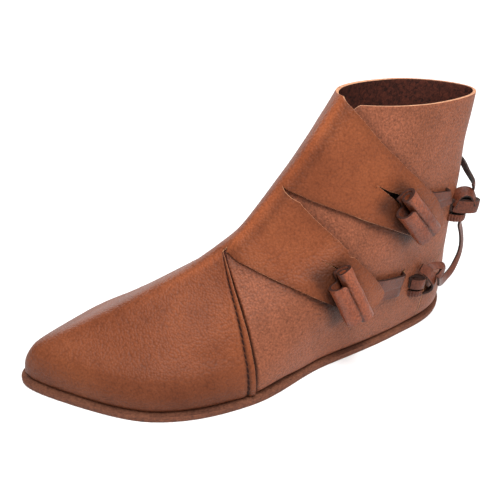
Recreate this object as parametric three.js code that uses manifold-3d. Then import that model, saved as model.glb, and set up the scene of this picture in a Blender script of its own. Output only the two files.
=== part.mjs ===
// Viking shoe for the left foot: an ankle-high leather shoe whose wrap flap ends in two straps,
// each held by a rolled leather toggle, with a thong knotted behind them.
// Millimetres. +Y runs to the toe, +Z up, and the fastened outer side is at -X.
// The origin is on the floor, under the middle of the heel seat.

import * as THREE from "three";
import { mergeVertices } from "three/addons/utils/BufferGeometryUtils.js";
import Module from "manifold-3d";

const wasm = await Module();
wasm.setup();

// Driving sizes
const SHOE_LENGTH = 280;
const HEEL_SEAT = 45;
const BALL_WIDTH = 97;
const COLLAR_HEIGHT = 151;
const LEATHER = 2;
const SOLE_THICKNESS = 4;
const SOLE_MARGIN = 2;
const SOLE_ROUNDING = 0.8;
const INSOLE_THICKNESS = 1.5;
const SEAM_WIDTH = 3.5;
const SEAM_RISE = 0.8;
const TOGGLE_LENGTH = 31;
const TOGGLE_LOBE = 9;
const TOGGLE_HOLLOW = 2.6;
const TAIL_WIDTH = 15;
const TAIL_THICKNESS = 1.6;
const THONG = 3.6;
const KNOT_TURN = 14;
const GAP = 0.3;
const TAIL_PLAY = 0.3;

// Sizes worked out from the driving sizes
const HALF_BALL = BALL_WIDTH / 2;
const BASE = SOLE_THICKNESS + GAP;
const UPPER_BACK = SOLE_MARGIN - HEEL_SEAT;
const UPPER_LENGTH = SHOE_LENGTH - 2 * SOLE_MARGIN;
const STRAP_LIFT = TAIL_THICKNESS + 2 * GAP + 2 * TAIL_PLAY;
const SLIT_WIDTH = TAIL_THICKNESS + 4 * GAP;

// Level sections of the upper's outer face. Height is a share of COLLAR_HEIGHT, back and front
// are shares of UPPER_LENGTH, and the rest are shares of HALF_BALL: lean moves the whole section
// to the inner side, w0 to w100 are its fullness at that percentage of its length, swing carries
// its front and bow its middle sideways. Rise tips the section, as a share of COLLAR_HEIGHT.
const SECTIONS = [
  { height: 0.03, back: 0, front: 1, lean: 0, w0: 1.1, w20: 0.76, w40: 0.68, w60: 0.93,
    w80: 1.07, w100: 0.66, swing: 0.44, bow: 0.11, rise: 0 },
  { height: 0.08, back: 0, front: 0.997, lean: 0, w0: 1.12, w20: 0.78, w40: 0.7, w60: 0.94,
    w80: 1.07, w100: 0.66, swing: 0.44, bow: 0.11, rise: 0 },
  { height: 0.15, back: 0, front: 0.979, lean: 0, w0: 1.06, w20: 0.77, w40: 0.72, w60: 0.91,
    w80: 0.98, w100: 0.58, swing: 0.42, bow: 0.1, rise: 0 },
  { height: 0.22, back: 0.003, front: 0.904, lean: 0, w0: 0.98, w20: 0.72, w40: 0.72, w60: 0.84,
    w80: 0.83, w100: 0.46, swing: 0.33, bow: 0.09, rise: 0 },
  { height: 0.32, back: 0.009, front: 0.779, lean: 0, w0: 0.86, w20: 0.65, w40: 0.7, w60: 0.76,
    w80: 0.68, w100: 0.4, swing: 0.2, bow: 0.07, rise: 0 },
  { height: 0.43, back: 0.011, front: 0.654, lean: 0, w0: 0.76, w20: 0.59, w40: 0.64, w60: 0.66,
    w80: 0.55, w100: 0.36, swing: 0.1, bow: 0.05, rise: 0 },
  { height: 0.54, back: 0.011, front: 0.561, lean: 0, w0: 0.68, w20: 0.54, w40: 0.57, w60: 0.57,
    w80: 0.48, w100: 0.36, swing: 0.05, bow: 0.03, rise: 0 },
  { height: 0.65, back: 0.011, front: 0.505, lean: 0.01, w0: 0.6, w20: 0.5, w40: 0.52, w60: 0.51,
    w80: 0.45, w100: 0.4, swing: 0.05, bow: 0, rise: 0 },
  { height: 0.77, back: 0.011, front: 0.447, lean: 0.03, w0: 0.52, w20: 0.46, w40: 0.47,
    w60: 0.46, w80: 0.43, w100: 0.42, swing: 0.03, bow: -0.02, rise: 0.01 },
  { height: 0.89, back: 0.005, front: 0.397, lean: 0.06, w0: 0.44, w20: 0.42, w40: 0.42,
    w60: 0.41, w80: 0.41, w100: 0.44, swing: 0, bow: -0.03, rise: 0.03 },
  { height: 1, back: -0.001, front: 0.35, lean: 0.09, w0: 0.36, w20: 0.385, w40: 0.39,
    w60: 0.38, w80: 0.39, w100: 0.46, swing: 0, bow: -0.04, rise: 0.055 },
];
const FULLNESS = ["w0", "w20", "w40", "w60", "w80", "w100"];
const FULLNESS_PLACES = [0, 0.2, 0.4, 0.6, 0.8, 1];

// Outlines seen from the outer side: y is a share of SHOE_LENGTH ahead of the origin and z a
// share of COLLAR_HEIGHT. A round point is part of a curve through its neighbours.
const FLAP_OUTLINE = [
  { y: 0.197, z: 1.08 },
  { y: 0.19, z: 1.005 },
  { y: 0.157, z: 0.945 },
  { y: 0.089, z: 0.824 },
  { y: 0.018, z: 0.708 },
  { y: -0.037, z: 0.622 },
  { y: -0.062, z: 0.553, round: true },
  { y: -0.071, z: 0.492, round: true },
  { y: -0.062, z: 0.447, round: true },
  { y: -0.027, z: 0.442 },
  { y: 0.068, z: 0.53 },
  { y: 0.138, z: 0.593 },
  { y: 0.216, z: 0.661 },
  { y: 0.307, z: 0.724 },
  { y: 0.291, z: 0.69 },
  { y: 0.242, z: 0.586 },
  { y: 0.196, z: 0.497 },
  { y: 0.165, z: 0.426 },
  { y: 0.129, z: 0.352, round: true },
  { y: 0.114, z: 0.287, round: true },
  { y: 0.123, z: 0.247, round: true },
  { y: 0.158, z: 0.244, round: true },
  { y: 0.236, z: 0.325 },
  { y: 0.264, z: 0.357 },
  { y: 0.338, z: 0.434 },
  { y: 0.4, z: 0.477 },
  { y: 0.438, z: 0.49 },
  { y: 0.6, z: 0.55 },
  { y: 0.6, z: 1.08 },
];
const HEEL_INSERT_OUTLINE = [
  { y: -0.021, z: -0.05 },
  { y: -0.023, z: 0.05 },
  { y: -0.032, z: 0.13 },
  { y: -0.046, z: 0.21 },
  { y: -0.066, z: 0.28 },
  { y: -0.104, z: 0.35 },
  { y: -0.121, z: 0.397 },
  { y: -0.136, z: 0.444 },
  { y: -0.147, z: 0.49 },
  { y: -0.25, z: 0.49 },
  { y: -0.25, z: -0.05 },
];

// The two fastenings. Y and z are shares, as in the outlines, of where the toggle's neck goes
// through the flap's slit. The slit's middle lies slitAhead millimetres towards the toe. Turns are
// degrees below a line that runs straight to the heel, and slide moves the roll down its own line,
// as a share of TOGGLE_LENGTH. The tail goes from the neck to a slit in the quarter.
const FASTENINGS = [
  { name: "toggle_upper", y: 0.071, z: 0.638, slitTurn: 34, slitAhead: 7, slitLength: 25,
    toggleTurn: 54, slide: 0.195, tailY: -0.03, tailZ: 0.6 },
  { name: "toggle_lower", y: 0.227, z: 0.427, slitTurn: 37, slitAhead: 5, slitLength: 22,
    toggleTurn: 68, slide: 0.27, tailY: 0.05, tailZ: 0.28 },
];
const LIFT_FULL = { lowY: 0.27, lowZ: 0.42, highY: 0.1, highZ: 0.64, run: 0.075 };

// Turns that make up each knot: the angle round the shoe and the height where it lies.
const KNOTS = [
  { name: "knot_lower", angle: 49.5, height: 0.25, reach: 1.05 },
  { name: "knot_upper", angle: 26.5, height: 0.53, reach: 0.9 },
];

// Routes of the thong, chosen by hand
const THONG_LOOP_ROUTE = [
  [-35.4, -13.6, 37.5], [-33, -17.5, 34], [-28, -25, 29.5], [-23, -33.5, 27], [-19.5, -41, 27.5],
  [-17, -46, 31], [-15.5, -49, 37.5], [-15, -48.5, 46], [-15.5, -44.5, 56], [-17, -39.5, 64],
  [-19, -37.5, 70.2],
];
const THONG_BACK_ROUTE = [
  [-18.6, -40.4, 91.1], [-15, -44.6, 91.5], [-10, -46.5, 92.5], [-5.5, -46.5, 95], [0, -45.5, 99.5],
  [7, -42.8, 102.8], [14.5, -37, 106],
  [19.5, -29, 108], [22, -21, 109], [22, -16.5, 109.4], [20.3, -14.2, 109.6],
];

// One value of a smooth curve through a column of a table, with no overshoot between its rows
function smoothColumn(places, values, place) {
  const last = places.length - 1;
  const at = Math.min(Math.max(place, places[0]), places[last]);
  let row = 0;
  while (row < last - 1 && at > places[row + 1]) row += 1;
  const slope = (k) => (values[k + 1] - values[k]) / (places[k + 1] - places[k]);
  const tangent = (k) => {
    if (k === 0) return slope(0);
    if (k === last) return slope(last - 1);
    const before = slope(k - 1);
    const after = slope(k);
    return before * after <= 0 ? 0 : (2 * before * after) / (before + after);
  };
  const width = places[row + 1] - places[row];
  const t = (at - places[row]) / width;
  const step = values[row + 1] - values[row];
  const start = tangent(row) * width;
  const end = tangent(row + 1) * width;
  return values[row] + t * (start + t * (3 * step - 2 * start - end + t * (start + end - 2 * step)));
}

const SECTION_HEIGHTS = SECTIONS.map((section) => section.height);

function column(name, height) {
  return smoothColumn(SECTION_HEIGHTS, SECTIONS.map((section) => section[name]), height);
}

// The upper's outer face. The angle goes from the heel (0) along the outer side (90 degrees) to
// the toe (180) and back along the inner side.
function facePoint(angle, height) {
  const along = (1 - Math.cos(angle)) / 2;
  const fullness = FULLNESS.map((name) => column(name, height));
  const width = smoothColumn(FULLNESS_PLACES, fullness, along);
  const swing = column("swing", height) * Math.max(0, (along - 0.4) / 0.6) ** 2;
  const bow = column("bow", height) * Math.sin(Math.PI * along);
  const back = column("back", height);
  const reach = back + (column("front", height) - back) * along;
  return new THREE.Vector3(
    HALF_BALL * (column("lean", height) + swing - bow - width * Math.sin(angle)),
    UPPER_BACK + UPPER_LENGTH * reach,
    COLLAR_HEIGHT * (height + column("rise", height) * (along - 0.5)),
  );
}

function faceNormal(angle, height) {
  const step = 0.004;
  const forward = facePoint(angle + step, height).sub(facePoint(angle - step, height));
  const top = Math.min(height + step, 1);
  const bottom = Math.max(height - step, SECTION_HEIGHTS[0]);
  const up = facePoint(angle, top).sub(facePoint(angle, bottom));
  return up.cross(forward).normalize();
}

function offsetPoint(angle, height, out) {
  return facePoint(angle, height).addScaledVector(faceNormal(angle, height), out);
}

// The angle and height of the point of the outer side that is seen at y and z
function sideAddress(y, z) {
  let height = z / COLLAR_HEIGHT;
  let along = 0.5;
  for (let pass = 0; pass < 4; pass += 1) {
    const back = column("back", height);
    const length = UPPER_LENGTH * (column("front", height) - back);
    along = Math.min(Math.max((y - UPPER_BACK - UPPER_LENGTH * back) / length, 0.005), 0.995);
    height = z / COLLAR_HEIGHT - column("rise", height) * (along - 0.5);
  }
  return { angle: Math.acos(1 - 2 * along), height: Math.min(height, 1) };
}

// A closed solid between an outer and an inner sheet of points. Rows run upwards, and each row
// goes towards the toe. A ring's rows close on themselves.
function wallBetween(outer, inner, isRing) {
  const rows = outer.length;
  const columns = outer[0].length;
  const index = (sheet, row, col) => (sheet * rows + row) * columns + (col % columns);
  const faces = [];
  const quad = (a, b, c, d) => faces.push(a, b, c, a, c, d);
  const spans = isRing ? columns : columns - 1;
  for (let row = 0; row < rows - 1; row += 1) {
    for (let col = 0; col < spans; col += 1) {
      quad(index(0, row, col), index(0, row + 1, col), index(0, row + 1, col + 1), index(0, row, col + 1));
      quad(index(1, row, col), index(1, row, col + 1), index(1, row + 1, col + 1), index(1, row + 1, col));
    }
  }
  const top = rows - 1;
  for (let col = 0; col < spans; col += 1) {
    quad(index(0, 0, col), index(0, 0, col + 1), index(1, 0, col + 1), index(1, 0, col));
    quad(index(0, top, col), index(1, top, col), index(1, top, col + 1), index(0, top, col + 1));
  }
  if (!isRing) {
    const end = columns - 1;
    for (let row = 0; row < rows - 1; row += 1) {
      quad(index(0, row, 0), index(1, row, 0), index(1, row + 1, 0), index(0, row + 1, 0));
      quad(index(0, row, end), index(0, row + 1, end), index(1, row + 1, end), index(1, row, end));
    }
  }
  const geometry = new THREE.BufferGeometry();
  const points = [...outer.flat(), ...inner.flat()];
  geometry.setAttribute("position", new THREE.Float32BufferAttribute(points.flatMap((p) => p.toArray()), 3));
  geometry.setIndex(faces);
  return geometry;
}

// Conversions for joining and cutting
function toSolid(geometry) {
  const bare = geometry.clone();
  bare.deleteAttribute("normal");
  bare.deleteAttribute("uv");
  const merged = mergeVertices(bare, 1e-4);
  return new wasm.Manifold(new wasm.Mesh({
    numProp: 3,
    vertProperties: new Float32Array(merged.attributes.position.array),
    triVerts: new Uint32Array(merged.index.array),
  }));
}

function toGeometry(solid) {
  const mesh = solid.getMesh();
  const geometry = new THREE.BufferGeometry();
  geometry.setAttribute("position", new THREE.BufferAttribute(new Float32Array(mesh.vertProperties), 3));
  geometry.setIndex(new THREE.BufferAttribute(new Uint32Array(mesh.triVerts), 1));
  geometry.computeVertexNormals();
  return geometry;
}

// A prism across the shoe, with an outline given in shares and seen from the side
function prismAcross(outline, shift = 0) {
  const points = [];
  const place = (p) => new THREE.Vector2(p.y * SHOE_LENGTH + shift, p.z * COLLAR_HEIGHT + shift);
  outline.forEach((point, row) => {
    const next = outline[(row + 1) % outline.length];
    points.push(place(point));
    if (!point.round || !next.round) return;
    const before = place(outline[row - 1]);
    const after = place(outline[(row + 2) % outline.length]);
    points.push(new THREE.SplineCurve([before, place(point), place(next), after]).getPoint(0.5));
  });
  const prism = new THREE.ExtrudeGeometry(new THREE.Shape(points), {
    depth: 2 * BALL_WIDTH,
    bevelEnabled: false,
  });
  const turn = new THREE.Matrix4().makeBasis(
    new THREE.Vector3(0, 1, 0),
    new THREE.Vector3(0, 0, 1),
    new THREE.Vector3(1, 0, 0),
  );
  prism.applyMatrix4(turn);
  prism.translate(-BALL_WIDTH, 0, 0);
  return prism;
}

// A piece of a sheet that lies on the outer side, seen as a rectangle: its centre at y and z, its
// length along a line that falls by turn towards the heel, and its two faces at inner and outer.
function sidePatch({ y, z, turn, length, width, inner, outer, lengthSteps, widthSteps }) {
  const fall = THREE.MathUtils.degToRad(turn);
  const sheet = (out) => {
    const rows = [];
    for (let row = 0; row <= widthSteps; row += 1) {
      const across = width * (row / widthSteps - 0.5);
      const points = [];
      for (let col = 0; col <= lengthSteps; col += 1) {
        const along = length * (0.5 - col / lengthSteps);
        const seenY = y - along * Math.cos(fall) - across * Math.sin(fall);
        const seenZ = z - along * Math.sin(fall) + across * Math.cos(fall);
        const address = sideAddress(seenY, seenZ);
        points.push(offsetPoint(address.angle, address.height, out));
      }
      rows.push(points);
    }
    return rows;
  };
  return toSolid(wallBetween(sheet(outer), sheet(inner), false));
}

// How far the flap's inner face stands off the quarter: close at the instep, lifted where a
// toggle's tail runs under it.
function flapStandOff(point) {
  const t = (point.z / COLLAR_HEIGHT - LIFT_FULL.lowZ) / (LIFT_FULL.highZ - LIFT_FULL.lowZ);
  const full = SHOE_LENGTH * (LIFT_FULL.lowY + (LIFT_FULL.highY - LIFT_FULL.lowY) * Math.max(0, t));
  const run = SHOE_LENGTH * LIFT_FULL.run;
  return GAP + (STRAP_LIFT - GAP) * THREE.MathUtils.smoothstep(full + run - point.y, 0, run);
}

// The shell and the flap share one net of rows and columns, so that they join cleanly
const NET_ROWS = 26;
const NET_COLUMNS = 44;

function netHeight(row) {
  const share = row / (NET_ROWS - 1);
  const base = BASE / COLLAR_HEIGHT;
  return base + (1 - base) * (0.55 * share + 0.45 * share ** 2);
}

function netAngle(col) {
  return (2 * Math.PI * col) / NET_COLUMNS;
}

function makeShell() {
  const outer = [];
  const inner = [];
  for (let row = 0; row < NET_ROWS; row += 1) {
    const height = netHeight(row);
    const outerRow = [];
    const innerRow = [];
    for (let col = 0; col < NET_COLUMNS; col += 1) {
      const angle = netAngle(col);
      const outerPoint = facePoint(angle, height);
      const innerPoint = offsetPoint(angle, height, -LEATHER);
      if (row === 0) {
        outerPoint.z = BASE;
        innerPoint.z = BASE;
      }
      outerRow.push(outerPoint);
      innerRow.push(innerPoint);
    }
    outer.push(outerRow);
    inner.push(innerRow);
  }
  return toSolid(wallBetween(outer, inner, true));
}

// The flap and its two straps. At the instep its sheet runs into the shell's wall.
function makeFlap() {
  const firstRow = 7;
  const firstColumn = 3;
  const lastColumn = 25;
  const topMargin = 0.003;
  const outer = [];
  const inner = [];
  for (let row = firstRow; row < NET_ROWS; row += 1) {
    const height = Math.min(netHeight(row), 1 - topMargin);
    const outerRow = [];
    const innerRow = [];
    for (let col = firstColumn; col <= lastColumn; col += 1) {
      const angle = netAngle(col);
      const standOff = flapStandOff(facePoint(angle, height));
      const free = THREE.MathUtils.smoothstep(lastColumn - col, 1, 5);
      innerRow.push(offsetPoint(angle, height, -0.6 * LEATHER + free * (standOff + 0.6 * LEATHER)));
      outerRow.push(offsetPoint(angle, height, -0.2 * LEATHER + free * (standOff + 1.2 * LEATHER)));
    }
    outer.push(outerRow);
    inner.push(innerRow);
  }
  let flap = toSolid(wallBetween(outer, inner, false));
  flap = flap.intersect(toSolid(prismAcross(FLAP_OUTLINE)));
  for (const fastening of FASTENINGS) {
    const fall = THREE.MathUtils.degToRad(fastening.slitTurn);
    flap = flap.subtract(sidePatch({
      y: fastening.y * SHOE_LENGTH + fastening.slitAhead * Math.cos(fall),
      z: fastening.z * COLLAR_HEIGHT + fastening.slitAhead * Math.sin(fall),
      turn: fastening.slitTurn,
      length: fastening.slitLength,
      width: SLIT_WIDTH,
      inner: GAP / 2,
      outer: STRAP_LIFT + 3 * LEATHER,
      lengthSteps: 4,
      widthSteps: 1,
    }));
  }
  return flap;
}

function quarterSlit(fastening, clearance, inner, outer) {
  return sidePatch({
    y: fastening.tailY * SHOE_LENGTH,
    z: fastening.tailZ * COLLAR_HEIGHT,
    turn: 0,
    length: TAIL_THICKNESS + 2 * clearance,
    width: TAIL_WIDTH + 2 * clearance,
    inner,
    outer,
    lengthSteps: 1,
    widthSteps: 3,
  });
}

function makeSeam() {
  const bottom = BASE + GAP;
  const top = 0.48 * COLLAR_HEIGHT;
  return sidePatch({
    y: 0.431 * SHOE_LENGTH,
    z: (bottom + top) / 2,
    turn: 0,
    length: SEAM_WIDTH,
    width: top - bottom,
    inner: -LEATHER / 2,
    outer: SEAM_RISE,
    lengthSteps: 1,
    widthSteps: 16,
  });
}

function thongHole() {
  const [before, end] = THONG_BACK_ROUTE.slice(-2).map((point) => new THREE.Vector3(...point));
  const direction = end.clone().sub(before).normalize();
  const hole = new THREE.CylinderGeometry(THONG / 2 + 4 * GAP, THONG / 2 + 4 * GAP, 5 * LEATHER, 12);
  hole.applyQuaternion(new THREE.Quaternion().setFromUnitVectors(new THREE.Vector3(0, 1, 0), direction));
  hole.translate(end.x, end.y, end.z);
  return toSolid(hole);
}

function makeUpper() {
  let upper = makeShell();
  upper = upper.subtract(toSolid(prismAcross(HEEL_INSERT_OUTLINE, GAP)));
  upper = upper.add(makeSeam());
  for (const fastening of FASTENINGS) {
    upper = upper.subtract(quarterSlit(fastening, 2 * GAP, -2 * LEATHER, LEATHER));
  }
  upper = upper.subtract(thongHole());
  return toGeometry(upper.add(makeFlap()));
}

function makeHeelInsert() {
  return toGeometry(makeShell().intersect(toSolid(prismAcross(HEEL_INSERT_OUTLINE))));
}

// The plan of the upper's foot, moved outwards by outset
function planShape(outset) {
  const points = [];
  const columns = 56;
  const height = BASE / COLLAR_HEIGHT;
  for (let col = 0; col < columns; col += 1) {
    const angle = (-2 * Math.PI * col) / columns;
    const normal = faceNormal(angle, height);
    const flat = new THREE.Vector2(normal.x, normal.y).normalize();
    const point = facePoint(angle, height);
    points.push(new THREE.Vector2(point.x, point.y).addScaledVector(flat, outset));
  }
  return new THREE.Shape(points.reverse());
}

function makeOutsole() {
  const sole = new THREE.ExtrudeGeometry(planShape(SOLE_MARGIN), {
    depth: SOLE_THICKNESS - 2 * SOLE_ROUNDING,
    bevelEnabled: true,
    bevelThickness: SOLE_ROUNDING,
    bevelSize: SOLE_ROUNDING,
    bevelOffset: -SOLE_ROUNDING,
    bevelSegments: 1,
  });
  sole.translate(0, 0, SOLE_ROUNDING);
  return toGeometry(toSolid(sole));
}

function makeInsole() {
  const insole = new THREE.ExtrudeGeometry(planShape(-LEATHER - 3 * GAP), {
    depth: INSOLE_THICKNESS,
    bevelEnabled: false,
  });
  insole.translate(0, 0, BASE);
  return toGeometry(toSolid(insole));
}

// One strip of leather: rolled from both sides above the flap, its neck through the flap's slit,
// and its tail under the strap into the quarter's slit.
function makeToggle(fastening) {
  const centreY = fastening.y * SHOE_LENGTH;
  const centreZ = fastening.z * COLLAR_HEIGHT;
  const address = sideAddress(centreY, centreZ);
  const normal = faceNormal(address.angle, address.height);
  const fall = THREE.MathUtils.degToRad(fastening.toggleTurn);
  const ahead = sideAddress(centreY - Math.cos(fall), centreZ - Math.sin(fall));
  const tangent = facePoint(ahead.angle, ahead.height).sub(facePoint(address.angle, address.height));
  const along = tangent.addScaledVector(normal, -tangent.dot(normal)).normalize();
  const across = new THREE.Vector3().crossVectors(normal, along);
  const rollBottom = STRAP_LIFT + LEATHER + 3 * GAP;
  const lobe = TOGGLE_LOBE / 2;
  const outline = new THREE.Shape();
  outline.absarc(lobe * 0.95, lobe, lobe, -0.75 * Math.PI, 0.75 * Math.PI, false);
  outline.absarc(-lobe * 0.95, lobe, lobe, 0.25 * Math.PI, 1.75 * Math.PI, false);
  for (const side of [-1, 1]) {
    const hollow = new THREE.Path();
    hollow.absarc(side * lobe * 0.95, lobe, TOGGLE_HOLLOW / 2, 0, 2 * Math.PI, true);
    outline.holes.push(hollow);
  }
  const roll = new THREE.ExtrudeGeometry(outline, {
    depth: TOGGLE_LENGTH - 2,
    bevelEnabled: true,
    bevelThickness: 1,
    bevelSize: 0.8,
    bevelOffset: -0.8,
    bevelSegments: 1,
    curveSegments: 7,
  });
  roll.translate(0, rollBottom, 1 + TOGGLE_LENGTH * (fastening.slide - 0.5));
  const place = new THREE.Matrix4().makeBasis(across, normal, along);
  place.setPosition(facePoint(address.angle, address.height));
  roll.applyMatrix4(place);

  const neck = sidePatch({
    y: centreY,
    z: centreZ,
    turn: fastening.slitTurn,
    length: 0.5 * TAIL_WIDTH,
    width: TAIL_THICKNESS,
    inner: GAP + TAIL_PLAY,
    outer: rollBottom + lobe / 2,
    lengthSteps: 2,
    widthSteps: 1,
  });
  const tailEndY = fastening.tailY * SHOE_LENGTH;
  const tailEndZ = fastening.tailZ * COLLAR_HEIGHT;
  const run = Math.hypot(centreY - tailEndY, centreZ - tailEndZ);
  const tail = sidePatch({
    y: (centreY + tailEndY) / 2,
    z: (centreZ + tailEndZ) / 2,
    turn: THREE.MathUtils.radToDeg(Math.atan2(centreZ - tailEndZ, centreY - tailEndY)),
    length: run,
    width: TAIL_WIDTH * 0.9,
    inner: GAP + TAIL_PLAY,
    outer: GAP + TAIL_PLAY + TAIL_THICKNESS,
    lengthSteps: 6,
    widthSteps: 2,
  });
  const end = quarterSlit(fastening, 0, -LEATHER * 0.9, GAP + TAIL_PLAY + TAIL_THICKNESS);
  return toGeometry(toSolid(roll).add(neck).add(tail).add(end));
}

// Three turns of the thong drawn together, seated on the quarter
function makeKnot(knot) {
  const angle = THREE.MathUtils.degToRad(knot.angle);
  const normal = faceNormal(angle, knot.height);
  const up = new THREE.Vector3(0, 0, 1);
  const back = new THREE.Vector3().crossVectors(up, normal).normalize();
  const rise = new THREE.Vector3().crossVectors(normal, back).normalize();
  const thick = THONG * 0.75;
  const ring = (KNOT_TURN * knot.reach) / 2;
  const flatness = 0.8;
  const seat = 2 * GAP + flatness * (ring + thick);
  const turns = [
    { tilt: 0, spin: 0, along: 0 },
    { tilt: Math.PI / 2, spin: 0.5, along: -0.2 * ring },
    { tilt: Math.PI / 2, spin: -0.7, along: 0.35 * ring },
  ];
  let solid = null;
  for (const turn of turns) {
    const torus = new THREE.TorusGeometry(ring, thick, 6, 12);
    torus.rotateY(turn.tilt);
    torus.rotateZ(turn.spin);
    torus.scale(1.1, 1.1, flatness);
    const place = new THREE.Matrix4().makeBasis(back, rise, normal);
    const centre = facePoint(angle, knot.height);
    centre.addScaledVector(normal, seat);
    centre.addScaledVector(back, turn.along);
    torus.applyMatrix4(place.setPosition(centre));
    solid = solid ? solid.add(toSolid(torus)) : toSolid(torus);
  }
  return toGeometry(solid);
}

function makeThong(route) {
  const section = new THREE.Shape();
  section.absarc(0, 0, THONG / 2, 0, 2 * Math.PI, false);
  const path = new THREE.CatmullRomCurve3(route.map((point) => new THREE.Vector3(...point)));
  const corners = section.getPoints(8).slice(0, 8);
  return new THREE.ExtrudeGeometry(new THREE.Shape(corners), {
    steps: Math.ceil(path.getLength() / (2.2 * THONG)),
    extrudePath: path,
    bevelEnabled: false,
  });
}

const upperLeather = new THREE.MeshStandardMaterial({ color: 0x8c5037, roughness: 0.55, metalness: 0 });
const toggleLeather = new THREE.MeshStandardMaterial({ color: 0x7c4530, roughness: 0.5, metalness: 0 });
const thongLeather = new THREE.MeshStandardMaterial({ color: 0x5c3425, roughness: 0.65, metalness: 0 });
const soleLeather = new THREE.MeshStandardMaterial({ color: 0x8a6548, roughness: 0.75, metalness: 0 });
const insoleLeather = new THREE.MeshStandardMaterial({ color: 0x5a3826, roughness: 0.85, metalness: 0 });

const shoe = new THREE.Group();

function addPiece(name, geometry, material) {
  const mesh = new THREE.Mesh(geometry, material);
  mesh.name = name;
  shoe.add(mesh);
}

addPiece("outsole", makeOutsole(), soleLeather);
addPiece("insole", makeInsole(), insoleLeather);
addPiece("upper", makeUpper(), upperLeather);
addPiece("heel_insert", makeHeelInsert(), upperLeather);
for (const fastening of FASTENINGS) addPiece(fastening.name, makeToggle(fastening), toggleLeather);
for (const knot of KNOTS) addPiece(knot.name, makeKnot(knot), thongLeather);
addPiece("thong_loop", makeThong(THONG_LOOP_ROUTE), thongLeather);
addPiece("thong_back", makeThong(THONG_BACK_ROUTE), thongLeather);

export default shoe;
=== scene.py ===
# Looks of the viking shoe: one upper cut from a flat hide, drawn over the last and lapped at the
# outer side, closed by two rolled toggles, with a flat thong knotted behind them, on a single
# leather sole. Lengths are in millimetres until a piece is placed, and the scene is in metres.

import math

import bmesh
import bpy
import numpy as np
from mathutils import Matrix, Vector, noise


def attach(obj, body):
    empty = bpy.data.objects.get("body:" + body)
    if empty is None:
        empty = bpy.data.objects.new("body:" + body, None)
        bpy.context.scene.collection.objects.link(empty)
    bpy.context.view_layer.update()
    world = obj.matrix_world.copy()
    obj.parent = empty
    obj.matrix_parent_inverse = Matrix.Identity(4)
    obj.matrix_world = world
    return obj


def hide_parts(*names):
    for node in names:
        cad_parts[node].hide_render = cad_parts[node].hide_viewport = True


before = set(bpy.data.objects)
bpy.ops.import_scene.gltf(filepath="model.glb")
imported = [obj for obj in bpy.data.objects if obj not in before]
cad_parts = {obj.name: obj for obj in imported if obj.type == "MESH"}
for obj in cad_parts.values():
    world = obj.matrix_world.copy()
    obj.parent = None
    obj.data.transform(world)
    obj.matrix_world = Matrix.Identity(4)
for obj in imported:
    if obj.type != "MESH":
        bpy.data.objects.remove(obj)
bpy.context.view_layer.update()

MM = 0.001

# Sizes of the shoe
SHOE_LENGTH = 280
HEEL_SEAT = 45
BALL_WIDTH = 97
COLLAR_HEIGHT = 151
LEATHER = 2
SOLE_THICKNESS = 4
SOLE_MARGIN = 2
INSOLE_THICKNESS = 1.5
GAP = 0.3
HALF_BALL = BALL_WIDTH / 2
BASE = SOLE_THICKNESS + GAP
UPPER_BACK = SOLE_MARGIN - HEEL_SEAT
UPPER_LENGTH = SHOE_LENGTH - 2 * SOLE_MARGIN
TOGGLE_LENGTH = 32
TOGGLE_LOBE = 9
TAIL_WIDTH = 14
TAIL_THICKNESS = 1.6
STRAP_LIFT = 2.8
THONG_WIDTH = 4.6
THONG_THICKNESS = 1.5

# Level sections of the upper's outer face. Height is a share of COLLAR_HEIGHT, back and front
# are shares of UPPER_LENGTH, and the rest are shares of HALF_BALL: lean moves the whole section
# to the inner side, w0 to w100 are its fullness at that percentage of its length, swing carries
# its front and bow its middle sideways. Rise tips the section, as a share of COLLAR_HEIGHT.
SECTION_COLUMNS = (
    "height", "back", "front", "lean", "w0", "w20", "w40", "w60", "w80", "w100", "swing", "bow", "rise",
)
SECTIONS = (
    (0.03, 0, 1, 0, 1.1, 0.76, 0.68, 0.93, 1.07, 0.66, 0.44, 0.11, 0),
    (0.08, 0, 0.997, 0, 1.12, 0.78, 0.7, 0.94, 1.07, 0.66, 0.44, 0.11, 0),
    (0.15, 0, 0.979, 0, 1.06, 0.77, 0.72, 0.91, 0.98, 0.58, 0.42, 0.1, 0),
    (0.22, 0.003, 0.904, 0, 0.98, 0.72, 0.72, 0.84, 0.83, 0.46, 0.33, 0.09, 0),
    (0.32, 0.009, 0.779, 0, 0.86, 0.65, 0.7, 0.76, 0.68, 0.4, 0.2, 0.07, 0),
    (0.43, 0.011, 0.654, 0, 0.76, 0.59, 0.64, 0.66, 0.55, 0.36, 0.1, 0.05, 0),
    (0.54, 0.011, 0.561, 0, 0.68, 0.54, 0.57, 0.57, 0.48, 0.36, 0.05, 0.03, 0),
    (0.65, 0.011, 0.505, 0.01, 0.6, 0.5, 0.52, 0.51, 0.45, 0.4, 0.05, 0, 0),
    (0.77, 0.011, 0.447, 0.03, 0.52, 0.46, 0.47, 0.46, 0.43, 0.42, 0.03, -0.02, 0.01),
    (0.89, 0.005, 0.397, 0.06, 0.44, 0.42, 0.42, 0.41, 0.41, 0.44, 0, -0.03, 0.03),
    (1, -0.001, 0.35, 0.09, 0.36, 0.385, 0.39, 0.38, 0.39, 0.46, 0, -0.04, 0.055),
)
FULLNESS_PLACES = (0, 0.2, 0.4, 0.6, 0.8, 1)

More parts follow.
